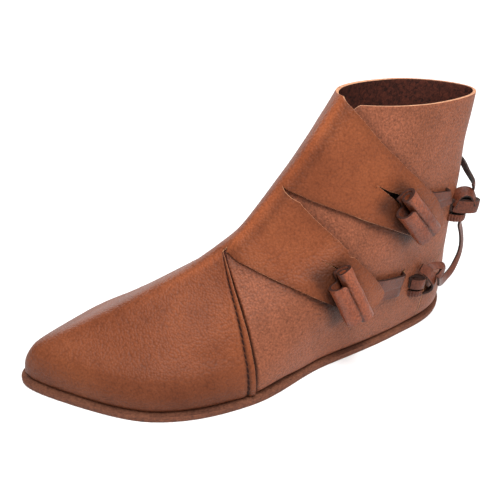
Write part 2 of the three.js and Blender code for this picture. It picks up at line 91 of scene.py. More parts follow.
# The flap's outline: degrees round the shoe from the heel, then a share of COLLAR_HEIGHT. A third
# value of 1 marks a point on a round stretch.
FLAP_EDGE = (
    (163, 0.491, 0), (152, 0.475, 0), (139, 0.456, 0), (116, 0.405, 0), (96, 0.34, 1), (84, 0.282, 1),
    (76.5, 0.253, 1), (71, 0.26, 1), (71, 0.3, 1), (78, 0.358, 1), (88.5, 0.425, 1), (100.5, 0.488, 1),
    (117, 0.575, 1), (144, 0.678, 1), (170, 0.72, 0), (148.5, 0.703, 1), (118, 0.65, 1), (95.5, 0.588, 1),
    (79, 0.533, 1), (62, 0.472, 1), (52.5, 0.452, 1), (48, 0.472, 1), (48, 0.505, 1), (52.5, 0.55, 1),
    (63.5, 0.638, 1), (76, 0.705, 1), (97, 0.81, 1), (129, 0.925, 1), (153.5, 0.978, 1), (170, 1.0, 0),
    (173, 1.06, 0),
)

# The heel's outline from the outer side: shares of SHOE_LENGTH ahead of the origin and of
# COLLAR_HEIGHT.
HEEL_EDGE = (
    (-0.023, -0.05, 0), (-0.023, 0.05, 0), (-0.032, 0.13, 0), (-0.046, 0.21, 0), (-0.066, 0.28, 0),
    (-0.104, 0.35, 0), (-0.121, 0.397, 0), (-0.136, 0.444, 0),
)
HEEL_PEAK = 0.472

# The side seam: its place as a share of SHOE_LENGTH ahead of the origin, its top as a share of
# COLLAR_HEIGHT, how far its stitches are from the vamp's edge, and from each other
SEAM_Y = 0.431
SEAM_TOP = 0.503
STITCH_LINE = 3.5
STITCH_PITCH = 3.9

# The flap stands fully off the quarter behind a line from a low to a high point, given as shares
# of the shoe's length and height, and rises to that over a run ahead of it.
LIFT_LOW_Y, LIFT_LOW_Z = 0.27, 0.42
LIFT_HIGH_Y, LIFT_HIGH_Z = 0.1, 0.64
LIFT_RUN = 0.075

# Where the flap leaves the last on the inner side, and the turn after which it is free
FLAP_ROOT = math.radians(196.4)
FLAP_RISE = math.radians(32.8)

# The two fastenings: where the toggle's neck goes through the flap, as shares of the shoe's length
# and height, the turn of its rolls, and how far they are slid along as a share of their length.
# Then, in degrees round the shoe and shares of its height, the flap's slit from its tip to the neck
# with its gape in millimetres, and the tail's edge under the strap and at its slit, top first.
FASTENINGS = (
    dict(name="toggle_upper", y=0.083, z=0.63, turn=50.5, slide=0.19,
         slit=((104, 0.728), (79, 0.634)), gape=5.6,
         tail_start=((80, 0.68), (68, 0.575)), tail_end=((46, 0.622), (39.5, 0.562))),
    dict(name="toggle_lower", y=0.243, z=0.41, turn=68, slide=0.26,
         slit=((113.5, 0.485), (93, 0.402)), gape=5.6,
         tail_start=((98, 0.412), (86, 0.296)), tail_end=((60, 0.322), (58.5, 0.233))),
)

# Routes of the thong: from the lower knot to the upper one, and on to a hole on the inner side
THONG_LOOP_ROUTE = (
    (-35.4, -13.6, 37.5), (-33, -17.5, 34), (-28, -25, 29.5), (-23, -33.5, 27), (-19.5, -41, 27.5),
    (-17, -46, 31), (-15.5, -49, 37.5), (-15, -48.5, 46), (-15.5, -44.5, 56), (-17, -39.5, 64),
    (-19, -37.5, 70.2),
)
THONG_BACK_ROUTE = (
    (-18.6, -40.4, 91.1), (-15, -44.6, 91.5), (-10, -46.5, 92.5), (-5.5, -46.5, 95),
    (0, -45.5, 99.5), (7, -42.8, 102.8), (14.5, -37, 106), (19.5, -29, 108), (22, -21, 109),
    (22, -16.5, 109.4), (20.3, -14.2, 109.6),
)


# The last

def smooth_column(places, values, place):
    """Values of smooth curves through the columns of a table, with no overshoot between rows."""
    places = np.asarray(places, float)
    values = np.asarray(values, float)
    place = np.clip(place, places[0], places[-1])
    if values.ndim == 1:
        values = np.repeat(values[:, None], len(place), axis=1)
    widths = np.diff(places)[:, None]
    slopes = np.diff(values, axis=0) / widths
    before, after = slopes[:-1], slopes[1:]
    product = before * after
    total = np.where(product > 0, before + after, 1)
    middle = np.where(product > 0, 2 * product / total, 0)
    tangents = np.vstack([slopes[:1], middle, slopes[-1:]])
    row = np.clip(np.searchsorted(places, place) - 1, 0, len(places) - 2)
    each = np.arange(len(place))
    width = np.diff(places)[row]
    t = (place - places[row]) / width
    start, end = tangents[row, each] * width, tangents[row + 1, each] * width
    step = values[row + 1, each] - values[row, each]
    return values[row, each] + t * (start + t * (3 * step - 2 * start - end + t * (start + end - 2 * step)))


SECTION_TABLE = {name: [row[k] for row in SECTIONS] for k, name in enumerate(SECTION_COLUMNS)}


def column(name, height):
    return smooth_column(SECTION_TABLE["height"], SECTION_TABLE[name], height)


def smooth_step(value):
    value = np.clip(value, 0, 1)
    return value * value * (3 - 2 * value)


def face_point(angle, height):
    """Points of the upper's outer face: heel at angle 0, outer side at 90 degrees, toe at 180."""
    angle, height = np.broadcast_arrays(np.atleast_1d(angle), np.atleast_1d(height))
    along = (1 - np.cos(angle)) / 2
    fullness = np.array([column(name, height) for name in ("w0", "w20", "w40", "w60", "w80", "w100")])
    width = smooth_column(FULLNESS_PLACES, fullness, along)
    swing = column("swing", height) * np.maximum(0, (along - 0.4) / 0.6) ** 2
    bow = column("bow", height) * np.sin(np.pi * along)
    back, front = column("back", height), column("front", height)
    side = column("lean", height) + swing - bow - width * np.sin(angle)
    level = height + column("rise", height) * (along - 0.5)
    return np.stack([
        HALF_BALL * side,
        UPPER_BACK + UPPER_LENGTH * (back + (front - back) * along),
        COLLAR_HEIGHT * level,
    ], axis=1)


def face_normal(angle, height):
    step = 0.004
    lowest = SECTIONS[0][0]
    forward = face_point(angle + step, height) - face_point(angle - step, height)
    above, below = np.minimum(height + step, 1), np.maximum(height - step, lowest)
    up = face_point(angle, above) - face_point(angle, below)
    normal = np.cross(up, forward)
    return normal / np.linalg.norm(normal, axis=1, keepdims=True)


def side_address(y, z):
    """Angles and heights of the points of the outer side that are seen at y and z."""
    y, z = np.atleast_1d(np.asarray(y, float)), np.atleast_1d(np.asarray(z, float))
    height = z / COLLAR_HEIGHT
    for _ in range(4):
        back, front = column("back", height), column("front", height)
        along = (y - UPPER_BACK - UPPER_LENGTH * back) / (UPPER_LENGTH * (front - back))
        along = np.clip(along, 0.005, 0.995)
        height = z / COLLAR_HEIGHT - column("rise", height) * (along - 0.5)
    return np.arccos(1 - 2 * along), np.minimum(height, 1)


# The hide: girth runs round the shoe and climb runs up it, both in millimetres

GIRTH_ANGLES = np.linspace(-1, 9, 4001)
GIRTH_RATES = np.hypot(UPPER_LENGTH / 2 * np.sin(GIRTH_ANGLES), 0.93 * HALF_BALL * np.cos(GIRTH_ANGLES))
GIRTH_STEPS = (GIRTH_RATES[1:] + GIRTH_RATES[:-1]) / 2 * np.diff(GIRTH_ANGLES)
GIRTH_TABLE = np.concatenate([[0], np.cumsum(GIRTH_STEPS)])
CLIMB_HEIGHTS = np.linspace(BASE / COLLAR_HEIGHT, 1.06, 800)
FRONT_SLOPES = np.gradient(column("front", CLIMB_HEIGHTS), CLIMB_HEIGHTS)
CLIMB_RATES = np.hypot(COLLAR_HEIGHT, 0.5 * UPPER_LENGTH * FRONT_SLOPES)
CLIMB_TABLE = np.concatenate([[0], np.cumsum(CLIMB_RATES[1:] * np.diff(CLIMB_HEIGHTS))])


def girth(angle):
    return np.interp(angle, GIRTH_ANGLES, GIRTH_TABLE)


def climb(height):
    return np.interp(height, CLIMB_HEIGHTS, CLIMB_TABLE)


# The side seam on the hide, how far its lines bend with it, and how far the quarter goes on under
# the vamp
SEAM_MIDDLE = math.radians(125)
SEAM_GIRTH = float(girth(SEAM_MIDDLE))
HEEL_GIRTH = float(girth(2 * math.pi))
AROUND = HEEL_GIRTH - float(girth(0))
BEND_REACH = 170
LAP = 7


def seam_angle(height):
    height = np.minimum(height, SEAM_TOP)
    back, front = column("back", height), column("front", height)
    along = (SEAM_Y * SHOE_LENGTH - UPPER_BACK - UPPER_LENGTH * back) / (UPPER_LENGTH * (front - back))
    return np.arccos(1 - 2 * np.clip(along, 0.005, 0.995))


def hide_angle(around, height):
    """The angle of a point of the hide. Its lines bend to run along the side seam."""
    bend = seam_angle(height) - SEAM_MIDDLE
    near = sum(1 - smooth_step(np.abs(around - SEAM_GIRTH - turn * AROUND) / BEND_REACH) for turn in (0, 1))
    return np.interp(around, GIRTH_TABLE, GIRTH_ANGLES) + bend * near


def hide_place(angle, height):
    """Girth and climb of a point with this angle and height."""
    low, high = girth(angle) - 120, girth(angle) + 120
    for _ in range(40):
        middle = (low + high) / 2
        short = hide_angle(middle, height) < angle
        low, high = np.where(short, middle, low), np.where(short, high, middle)
    return np.stack([(low + high) / 2, climb(height)], axis=1)


def curve_point(a, b, c, d, t):
    """A point of the smooth curve from b to c, with a before and d after them."""
    bend, twist = 2 * a - 5 * b + 4 * c - d, 3 * b - a - 3 * c + d
    return (2 * b + (c - a) * t + bend * t ** 2 + twist * t ** 3) / 2


def rounded(outline, scale, steps=3):
    """The points of an outline in the wanted unit, with more of them on its round stretches."""
    points = []
    for k, (y, z, is_round) in enumerate(outline):
        points.append((y, z))
        if not is_round or k + 1 == len(outline) or not outline[k + 1][2]:
            continue
        a, b, c, d = (np.array(outline[min(max(k + j, 0), len(outline) - 1)][:2]) for j in (-1, 0, 1, 2))
        points += [tuple(curve_point(a, b, c, d, t)) for t in np.arange(1, steps) / steps]
    return np.array(points) * np.array(scale)


def round_the_shoe(points, turn=0):
    """Places on the hide of points given in degrees round the shoe and shares of its height."""
    points = np.asarray(points, float)
    return hide_place(np.radians(points[:, 0]) + 2 * math.pi * turn, points[:, 1])


def on_outer_side(points, turn=0):
    angle, height = side_address(points[:, 0], points[:, 1])
    return hide_place(angle + 2 * math.pi * turn, height)


def on_inner_side(points):
    angle, height = side_address(points[:, 0], points[:, 1])
    return hide_place(2 * math.pi - angle, height)


# Modelling helpers

def deselect():
    if bpy.context.object and bpy.context.object.mode != "OBJECT":
        bpy.ops.object.mode_set(mode="OBJECT")
    bpy.ops.object.select_all(action="DESELECT")


def pick(piece):
    deselect()
    piece.select_set(True)
    bpy.context.view_layer.objects.active = piece


def take_new(name):
    """Names the primitive that was just added and puts its place into its mesh."""
    piece = bpy.context.object
    piece.name = name
    piece.data.name = name
    bpy.ops.object.transform_apply(location=True, rotation=True, scale=True)
    return piece


def edit(piece, mode="FACE"):
    pick(piece)
    bpy.ops.object.mode_set(mode="EDIT")
    bpy.ops.mesh.select_mode(type=mode)
    bpy.ops.mesh.select_all(action="DESELECT")


def leave_edit():
    bpy.ops.object.mode_set(mode="OBJECT")


def select_faces(piece, test):
    net = bmesh.from_edit_mesh(piece.data)
    wanted = [face for face in net.faces if test(face)]
    for face in wanted:
        face.select_set(True)
    bmesh.update_edit_mesh(piece.data)
    return len(wanted)


def finish_with(piece, kind, **settings):
    """Adds a modifier and applies it."""
    pick(piece)
    modifier = piece.modifiers.new(kind.title(), kind)
    for key, value in settings.items():
        setattr(modifier, key, value)
    bpy.ops.object.modifier_apply(modifier=modifier.name)


def shade(piece):
    """Smooths a piece, but keeps its edges of more than 50 degrees crisp."""
    pick(piece)
    bpy.ops.object.shade_smooth_by_angle(angle=math.radians(50))


def join(pieces, name):
    deselect()
    for piece in pieces:
        piece.select_set(True)
    bpy.context.view_layer.objects.active = pieces[0]
    bpy.ops.object.join()
    pieces[0].name = name
    pieces[0].data.name = name
    return pieces[0]


def read_points(piece):
    points = np.empty(3 * len(piece.data.vertices))
    piece.data.vertices.foreach_get("co", points)
    return points.reshape(-1, 3) / MM


def write_points(piece, points):
    piece.data.vertices.foreach_set("co", (np.asarray(points) * MM).ravel())
    piece.data.update()


def dress(piece, *materials):
    for material in materials:
        piece.data.materials.append(material)


def hand_over(piece, nodes=()):
    """Gives a finished piece its body and the nodes that it replaces."""
    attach(piece, "root")
    if nodes:
        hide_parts(*nodes)
    return piece


# Cutting a flat sheet

def flat_sheet(name, left, right, bottom, top, cell):
    deselect()
    across = max(2, round((right - left) / cell))
    up = max(2, round((top - bottom) / cell))
    bpy.ops.mesh.primitive_grid_add(
        x_subdivisions=across, y_subdivisions=up, size=1,
        location=((left + right) / 2 * MM, (bottom + top) / 2 * MM, 0),
    )
    bpy.context.object.scale = ((right - left) * MM, (top - bottom) * MM, 1)
    return take_new(name)


def cut_along(sheet, chain):
    """Cuts only the faces that each straight stretch of the chain runs through."""
    slack = 0.02 * MM
    edit(sheet)
    for start, end in zip(chain[:-1], chain[1:]):
        start = Vector((start[0], start[1], 0)) * MM
        along = Vector((end[0], end[1], 0)) * MM - start
        length = along.length
        along.normalize()
        across = Vector((-along.y, along.x, 0))

        def runs_through(face):
            places = [corner.co - start for corner in face.verts]
            sides = [place.dot(across) for place in places]
            steps = [place.dot(along) for place in places]
            return min(sides) < -slack and max(sides) > slack and min(steps) < length and max(steps) > 0

        bpy.ops.mesh.select_all(action="DESELECT")
        if select_faces(sheet, runs_through):
            bpy.ops.mesh.bisect(plane_co=start, plane_no=across)
    leave_edit()


def within(x, y, loop):
    """Whether a point lies inside a closed loop of corners."""
    inside = False
    for (x0, y0), (x1, y1) in zip(loop, np.roll(loop, -1, axis=0)):
        if (y0 > y) != (y1 > y) and x < x0 + (y - y0) / (y1 - y0) * (x1 - x0):
            inside = not inside
    return inside


def drop_faces(sheet, loop, keep_inside=False):
    """Deletes the faces inside a loop of corners, or those outside it."""
    edit(sheet)

    def is_waste(face):
        middle = face.calc_center_median() / MM
        return within(middle.x, middle.y, loop) != keep_inside

    select_faces(sheet, is_waste)
    bpy.ops.mesh.delete(type="FACE")
    leave_edit()


def tidy_cuts(sheet, distance=0.3):
    edit(sheet)
    bpy.ops.mesh.select_all(action="SELECT")
    bpy.ops.mesh.remove_doubles(threshold=distance * MM)
    leave_edit()


def wedge(tip, end, width):
    """A slit on the hide that opens from a sharp tip."""
    along = end - tip
    across = np.array([-along[1], along[0]]) / np.linalg.norm(along) * width
    side = ((0.3, 0.12), (0.62, 0.4), (0.85, 0.5), (1, 0.2))
    shape = ((0, 0), *side, *((s, -t) for s, t in side[::-1]))
    return np.array([tip + along * s + across * t for s, t in shape])


# Relief of the upper

def strap_stand_off(y, z):
    """How far the flap's inner face stands off the quarter."""
    t = (z / COLLAR_HEIGHT - LIFT_LOW_Z) / (LIFT_HIGH_Z - LIFT_LOW_Z)
    full = SHOE_LENGTH * (LIFT_LOW_Y + (LIFT_HIGH_Y - LIFT_LOW_Y) * np.maximum(0, t))
    run = SHOE_LENGTH * LIFT_RUN
    return GAP + (STRAP_LIFT - GAP) * smooth_step((full + run - y) / run)


def flap_cover(angle, y, z):
    """How far the flap's outer face stands off the quarter: nothing on the inner side."""
    wrapped = np.mod(angle, 2 * math.pi)
    free = smooth_step((FLAP_ROOT - wrapped) / FLAP_RISE)
    rise_behind_seam = 9
    begun = smooth_step((SEAM_Y * SHOE_LENGTH - y) / rise_behind_seam)
    return free * begun * (strap_stand_off(y, z) + LEATHER)


def band(distance, reach):
    """1 on a line, and less on both sides of it."""
    return np.exp(-(distance / reach) ** 2)


def seam_lip(distance):
    """The vamp's edge where it laps over the quarter: a bulged lip, then the stitched trough."""
    lip = 1.0 * np.exp(-(np.maximum(distance - 0.6, 0) / 2.2) ** 4)
    trough = -0.55 * band(distance - STITCH_LINE, 0.8)
    swell = 0.3 * band(distance - 6, 2.5)
    return lip + trough + swell


def upper_offset(around, angle, height, y, z):
    """How far each point of the hide's outer face stands off the last's face."""
    ahead = around - SEAM_GIRTH
    behind = around - SEAM_GIRTH - AROUND
    seam_part = 1 - smooth_step((height - SEAM_TOP + 0.05) / 0.05)
    cover = flap_cover(angle, y, z)
    is_quarter = angle > 2 * math.pi
    is_vamp = (ahead > -0.01) & ~is_quarter
    under_lip = -1.5 * smooth_step((behind + 3) / 3.5) - 1.2 * smooth_step((behind - 0.5) / 3.5)
    under_flap = np.minimum(0, cover - LEATHER - GAP)
    quarter = under_lip * seam_part + under_flap * (1 - seam_part)
    vamp = np.where(is_vamp, seam_lip(ahead) * seam_part, 0)
    offset = np.where(is_quarter, quarter, cover + vamp)
    tuck = -1.7 * (1 - smooth_step((z - BASE) / 4))
    return offset + tuck


def distance_to_line(points, line):
    """The shortest way from each point to a line of straight stretches."""
    nearest = np.full(len(points), 1e9)
    for start, end in zip(line[:-1], line[1:]):
        stretch = end - start
        share = np.clip((points - start) @ stretch / max(stretch @ stretch, 1e-9), 0, 1)
        nearest = np.minimum(nearest, np.linalg.norm(points - start - share[:, None] * stretch, axis=1))
    return nearest


# Painted light and shade on the hide: factors that the material multiplies into its dye
def foot_painted_shade(around, height, y, z, is_quarter):
    """Painted shade: dark at the sole, low on the vamp, in the stitched trough and under the seam's lip."""
    behind = around - SEAM_GIRTH - AROUND
    ahead = smooth_step((y - 95) / 45) * ~is_quarter
    painted_shading = (1 - 0.06 * ahead) * (1 - 0.36 * ahead * (1 - smooth_step((z - 8) / 30)))
    painted_shading *= 1 - 0.5 * (1 - smooth_step((z - BASE - 0.5) / 2.5))
    at_seam = height < SEAM_TOP
    painted_shading *= np.where(at_seam, 1 - 0.6 * band(around - SEAM_GIRTH - STITCH_LINE, 1.1), 1)
    return painted_shading * np.where(is_quarter & at_seam, 1 - 0.85 * smooth_step((behind + 2.4) / 1.6), 1)


def ridge_painted_light(around_degrees, z):
    """A painted highlight up the ridge of the shaft's front, with a band of painted shade beside it."""
    painted_ridge_highlight = band(around_degrees - 170, 5.5) * smooth_step((z - 45) / 30)
    hollow_shade = band(around_degrees - 158, 4.5) * smooth_step((z - 60) / 30)
    return (1 + 0.42 * painted_ridge_highlight) * (1 - 0.2 * hollow_shade)


def flap_painted_shadow(angle, height, z, is_quarter):
    """Painted shade on the quarter under the flap, with a painted soft shadow on both sides of the flap's
    edge.
    """
    here = np.stack([girth(angle - 2 * math.pi * is_quarter), climb(height)], axis=1)
    edge = flap_chain()
    edge[:, 0] = girth(hide_angle(edge[:, 0], np.interp(edge[:, 1], CLIMB_TABLE, CLIMB_HEIGHTS)))
    covered = np.array([within(a, b, edge) for a, b in here])
    away = distance_to_line(here, edge)
    painted_shading = np.where(is_quarter & covered, 1 - 0.9 * smooth_step(away / 2.2), 1)
    painted_shading = painted_shading * np.where(is_quarter & ~covered, 1 - 0.34 * band(away, 3.2), 1)
    return painted_shading * np.where(is_quarter, 1, 1 - 0.2 * band(away, 3) * (z > 50))


def insert_seam_painted_shade(around, height):
    """Painted shade along the heel insert's seam."""
    away = distance_to_line(np.stack([around, climb(height)], axis=1), heel_chain())
    return 1 - 0.6 * band(away, 1.5)


def toggle_painted_shadow(angle, height, fastening):
    """Painted shadow on the outer side round a toggle."""
    origin, _, normal, along = side_frame(
        fastening["y"] * SHOE_LENGTH, fastening["z"] * COLLAR_HEIGHT, fastening["turn"])
    ends = TOGGLE_LENGTH * (fastening["slide"] - 0.5), TOGGLE_LENGTH * (fastening["slide"] + 0.5)
    roll_half_width, shadow_reach = 7.5, 5
    away = face_point(angle, height) - origin
    along_roll = away @ along
    past = along_roll - np.clip(along_roll, *ends)
    beside = away @ np.cross(normal, along)
    gap = np.hypot(past, np.maximum(0, np.abs(beside) - roll_half_width))
    return 1 - 0.68 * band(gap, shadow_reach) * (np.mod(angle, 2 * math.pi) < math.pi)


def hide_painted_shading(around, angle, height, y, z):
    """Painted light and shade at each point of the hide, as a factor on its dye: 1 where none is painted.
    """
    is_quarter = angle > 2 * math.pi
    painted_shading = foot_painted_shade(around, height, y, z, is_quarter)
    painted_shading *= ridge_painted_light(np.degrees(np.mod(angle, 2 * math.pi)), z)
    painted_shading *= flap_painted_shadow(angle, height, z, is_quarter)
    painted_shading *= insert_seam_painted_shade(around, height)
    for fastening in FASTENINGS:
        painted_shading *= toggle_painted_shadow(angle, height, fastening)
    return painted_shading


def sway(points, size, height, seed):
    """A soft unevenness, the same each time."""
    return np.array([height * noise.noise(Vector(point) / size + Vector((seed, 0, 0))) for point in points])


def mark(sheet, name, values):
    """Keeps a value for each point of a sheet, for its material to read."""
    marks = sheet.data.attributes.new(name, "FLOAT", "POINT")
    marks.data.foreach_set("value", np.asarray(values, float))


def collar_dip(angle, height):
    """How much lower the quarter's top lies towards its front corner, in shares of the height."""
    degrees = np.degrees(angle)
    dip = 0.012 + 0.1 * smooth_step((degrees - 505) / 22)
    return dip * (smooth_step((degrees - 400) / 70) * smooth_step((height - 0.8) / 0.2))


def last_sheet(sheet):
    """Draws a flat cut sheet over the last and marks its painted light and shade and how coarse its grain
    is.
    """
    flat = read_points(sheet)
    around = flat[:, 0]
    height = np.interp(flat[:, 1], CLIMB_TABLE, CLIMB_HEIGHTS)
    height = np.minimum(height, 1)
    angle = hide_angle(around, height)
    height = height - collar_dip(angle, height)
    points = face_point(angle, height)
    normal = face_normal(angle, height)
    mark(sheet, "painted_shading", hide_painted_shading(around, angle, height, points[:, 1], points[:, 2]))
    mark(sheet, "coarse", smooth_step((np.degrees(angle) - 330) / 60))
    offset = upper_offset(around, angle, height, points[:, 1], points[:, 2])
    offset += sway(points, 34, 0.55, 3.1) + sway(points, 13, 0.16, 8.7)
    points = points + normal * offset[:, None]
    low = height <= BASE / COLLAR_HEIGHT + 1e-4
    points[low, 2] = BASE
    lift = 2.4 * band(points[:, 1] - 104, 13) * (1 - smooth_step((points[:, 2] - BASE) / 16))
    points[:, 2] += np.where(angle > 2 * math.pi, lift, 0)
    write_points(sheet, points)
    edit(sheet)
    bpy.ops.mesh.select_all(action="SELECT")
    bpy.ops.mesh.flip_normals()
    leave_edit()


def round_edges(piece, width=0.3, degrees=55, segments=2, clamp=True):
    finish_with(piece, "BEVEL", width=width * MM, segments=segments, limit_method="ANGLE",
                angle_limit=math.radians(degrees), use_clamp_overlap=clamp)


def thicken(sheet):
    finish_with(sheet, "SOLIDIFY", thickness=LEATHER * MM, offset=-1, use_even_offset=False,
                material_offset=1, material_offset_rim=2)
    round_edges(sheet, clamp=False)


# Materials

def add_node(material, kind, **settings):
    node = material.node_tree.nodes.new(kind)
    for key, value in settings.items():
        if key in node.inputs:
            node.inputs[key].default_value = value
        else:
            setattr(node, key, value)
    return node


def wire(material, source, output, target, entry):
    material.node_tree.links.new(source.outputs[output], target.inputs[entry])


def new_material(name, roughness, specular=0.5):
    material = bpy.data.materials.new(name)
    material.use_nodes = True
    shader = material.node_tree.nodes["Principled BSDF"]
    shader.inputs["Roughness"].default_value = roughness
    shader.inputs["Specular IOR Level"].default_value = specular
    return material, shader


def ramp(material, stops):
    node = material.node_tree.nodes.new("ShaderNodeValToRGB")
    elements = node.color_ramp.elements
    while len(elements) < len(stops):
        elements.new(0.5)
    for element, (place, colour) in zip(elements, stops):
        element.position = place
        element.color = (*colour, 1)
    return node


def linear(red, green, blue):
    """A colour given as on a screen, from 0 to 255."""
    shares = (red / 255, green / 255, blue / 255)
    return tuple(c / 12.92 if c <= 10 / 255 else ((c + 0.055) / 1.055) ** 2.4 for c in shares)


def mix_colours(material, factor, first, second, blend="MIX"):
    node = material.node_tree.nodes.new("ShaderNodeMix")
    node.data_type = "RGBA"
    node.blend_type = blend
    for entry, value in (("Factor", factor), ("A", first), ("B", second)):
        sockets = [s for s in node.inputs if s.name == entry and s.enabled]
        if isinstance(value, tuple) and hasattr(value[0], "outputs"):
            material.node_tree.links.new(value[0].outputs[value[1]], sockets[0])
        elif entry == "Factor":
            sockets[0].default_value = value
        else:
            sockets[0].default_value = (*value, 1)
    colour_out = [s for s in node.outputs if s.enabled][0]
    return node, colour_out.name


def spread(material, value, low, high):
    """A value from 0 to 1, spread between two others."""
    node = add_node(material, "ShaderNodeMapRange")
    node.inputs["To Min"].default_value = low
    node.inputs["To Max"].default_value = high
    wire(material, *value, node, "Value")
    return node, "Result"


def grain_leather(name, dyes, pebble, relief, wrinkle, roughness, specular, coarse_dyes=None, with_painted_shading=False):
    """Smooth-grained leather: patchy dye, fine pebbles with painted shade in their valleys, pores and
    light flecks of painted glint, and soft wrinkles. The coarse dyes go where the piece is marked coarse,
    and the painted light and shade that the piece is marked with is multiplied into its dye."""
    material, shader = new_material(name, roughness, specular)
    place = add_node(material, "ShaderNodeTexCoord")
    patches = add_node(material, "ShaderNodeTexNoise", Scale=30, Detail=4, Roughness=0.6)
    mottle = add_node(material, "ShaderNodeTexNoise", Scale=900, Detail=3, Roughness=0.7)
    pebbles = add_node(material, "ShaderNodeTexVoronoi", Scale=1000 / pebble, Randomness=1.0)
    creases = add_node(material, "ShaderNodeTexNoise", Scale=300, Detail=5, Roughness=0.65, Distortion=0.6)
    for texture in (patches, mottle, pebbles, creases):
        wire(material, place, "Object", texture, "Vector")
    deep, middle, pale = (linear(*each) for each in dyes)
    dye = ramp(material, ((0.3, deep), (0.5, middle), (0.72, pale)))
    wire(material, patches, "Fac", dye, "Fac")
    colour = (dye, "Color")
    if coarse_dyes:
        deep, pale = (linear(*each) for each in coarse_dyes)
        coarse_dye = ramp(material, ((0.3, deep), (0.7, pale)))
        wire(material, patches, "Fac", coarse_dye, "Fac")
        coarse = add_node(material, "ShaderNodeAttribute", attribute_name="coarse")
        colour = mix_colours(material, (coarse, "Fac"), colour, (coarse_dye, "Color"))
    # Dark pores, and light flecks that are painted glints on the grain
    pore, face, painted_glint = (0.5, 0.47, 0.45), (0.96, 0.96, 0.96), (1.4, 1.38, 1.35)
    speckle = ramp(material, ((0.32, pore), (0.5, face), (0.68, painted_glint)))
    wire(material, mottle, "Fac", speckle, "Fac")
    speckling = 0.85
    if coarse_dyes:
        speckling = spread(material, (coarse, "Fac"), 0.38, 0.85)
    colour = mix_colours(material, speckling, colour, (speckle, "Color"), "MULTIPLY")
    # Painted shade in the pebbles' valleys, with their crowns a little lighter
    crown, slope, valley_shade = (1.05, 1.05, 1.05), (0.97, 0.97, 0.97), (0.6, 0.56, 0.54)
    pebble_shading = ramp(material, ((0.0, crown), (0.5, slope), (0.9, valley_shade)))
    wire(material, pebbles, "Distance", pebble_shading, "Fac")
    colour = mix_colours(material, 0.55, colour, (pebble_shading, "Color"), "MULTIPLY")
    # The painted light and shade that the piece is marked with, multiplied into the dye
    if with_painted_shading:
        painted_shading = add_node(material, "ShaderNodeAttribute", attribute_name="painted_shading")
        shade_of = add_node(material, "ShaderNodeCombineColor")
        for entry in ("Red", "Green", "Blue"):
            wire(material, painted_shading, "Fac", shade_of, entry)
        colour = mix_colours(material, 1.0, colour, (shade_of, "Color"), "MULTIPLY")
    wire(material, *colour, shader, "Base Color")
    gloss = spread(material, (mottle, "Fac"), roughness - 0.12, roughness + 0.14)
    wire(material, *gloss, shader, "Roughness")
    pebbled = add_node(material, "ShaderNodeBump", Strength=0.9, Distance=relief * MM)
    pebbled.invert = True
    wire(material, pebbles, "Distance", pebbled, "Height")
    wrinkled = add_node(material, "ShaderNodeBump", Strength=0.9, Distance=wrinkle * MM)
    wire(material, creases, "Fac", wrinkled, "Height")
    if coarse_dyes:
        depth = spread(material, (coarse, "Fac"), 0.45, 1)
        wire(material, *depth, wrinkled, "Strength")
    wire(material, pebbled, "Normal", wrinkled, "Normal")
    wire(material, wrinkled, "Normal", shader, "Normal")
    return material


def flesh_leather(name, deep, pale, relief=0.35, roughness=0.85):
    """The rough inner side of the hide, with short torn fibres."""
    material, shader = new_material(name, roughness, 0.25)
    place = add_node(material, "ShaderNodeTexCoord")
    clumps = add_node(material, "ShaderNodeTexNoise", Scale=420, Detail=6, Roughness=0.75, Distortion=0.8)
    wire(material, place, "Object", clumps, "Vector")
    colour = ramp(material, ((0.36, linear(*deep)), (0.66, linear(*pale))))
    wire(material, clumps, "Fac", colour, "Fac")
    wire(material, colour, "Color", shader, "Base Color")
    bump = add_node(material, "ShaderNodeBump", Strength=0.9, Distance=relief * MM)
    wire(material, clumps, "Fac", bump, "Height")
    wire(material, bump, "Normal", shader, "Normal")
    return material


def cut_edge(name, deep, pale, roughness=0.7):
    """A cut edge: fibres in thin layers, paler than the face."""
    material, shader = new_material(name, roughness, 0.35)
    place = add_node(material, "ShaderNodeTexCoord")
    fibres = add_node(material, "ShaderNodeTexNoise", Scale=650, Detail=6, Roughness=0.7)
    wire(material, place, "Object", fibres, "Vector")
    colour = ramp(material, ((0.3, linear(*deep)), (0.7, linear(*pale))))
    wire(material, fibres, "Fac", colour, "Fac")
    wire(material, colour, "Color", shader, "Base Color")
    bump = add_node(material, "ShaderNodeBump", Strength=0.7, Distance=0.2 * MM)
    wire(material, fibres, "Fac", bump, "Height")
    wire(material, bump, "Normal", shader, "Normal")
    return material


FACE = grain_leather(
    "upper_grain", dyes=((110, 55, 29), (123, 64, 36), (134, 72, 41)), pebble=1.3, relief=0.3, wrinkle=0.3,
    roughness=0.5, specular=0.17, coarse_dyes=((118, 67, 45), (138, 80, 56)), with_painted_shading=True,
)
FLESH = flesh_leather("flesh_side", (24, 9, 6), (92, 43, 30))
EDGE = cut_edge("cut_edge", (132, 80, 54), (216, 158, 118))
TOGGLE = grain_leather(
    "toggle_grain", dyes=((88, 40, 24), (118, 59, 36), (140, 74, 47)), pebble=1.2, relief=0.2, wrinkle=0.2,
    roughness=0.36, specular=0.36, with_painted_shading=True,
)
TOGGLE_EDGE = cut_edge("toggle_edge", (30, 14, 10), (72, 38, 27))
THONG = grain_leather(
    "thong_grain", dyes=((64, 29, 18), (88, 43, 27), (108, 56, 37)), pebble=1.1, relief=0.16, wrinkle=0.16,
    roughness=0.45, specular=0.22,
)
THONG_EDGE = cut_edge("thong_edge", (24, 12, 8), (58, 31, 22))
SOLE_TOP = grain_leather(
    "sole_top", dyes=((70, 40, 29), (98, 60, 44), (116, 74, 55)), pebble=1.3, relief=0.1, wrinkle=0.1,
    roughness=0.7, specular=0.15,
)
